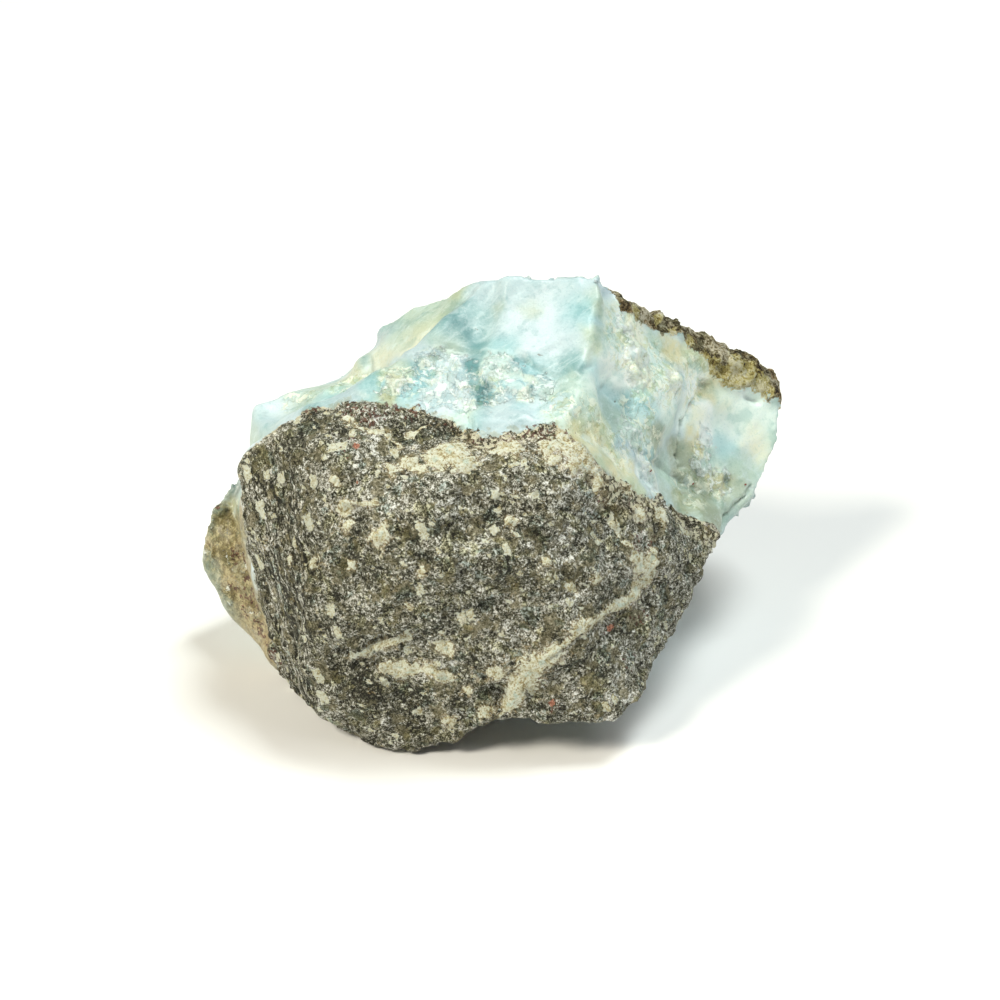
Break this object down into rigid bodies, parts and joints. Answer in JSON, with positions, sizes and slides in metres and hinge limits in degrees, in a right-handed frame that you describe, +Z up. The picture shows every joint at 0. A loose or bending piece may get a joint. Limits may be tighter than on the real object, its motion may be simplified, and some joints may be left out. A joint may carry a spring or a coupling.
{
  "type": "rough larimar stone",
  "caption": "Fist-size rough stone: a pale blue larimar vein broken out on a wall of dark speckled basalt, resting on a flat underside.",
  "frame": {"origin": "middle of the stone's bounding box, on the surface that it rests on", "axes": "+Z up, +X along the stone's length to the right, +Y away from the side that shows the basalt"},
  "size_m": [0.0862, 0.062, 0.0567],
  "materials": {
    "stone": "broken natural stone: dull salt-and-pepper basalt in front and below, pale blue and white larimar with a soft waxy shine above, a brown crust on the rear edge"
  },
  "bodies": {
    "root": {"rough_larimar": "stone"}
  },
  "joints": []
}
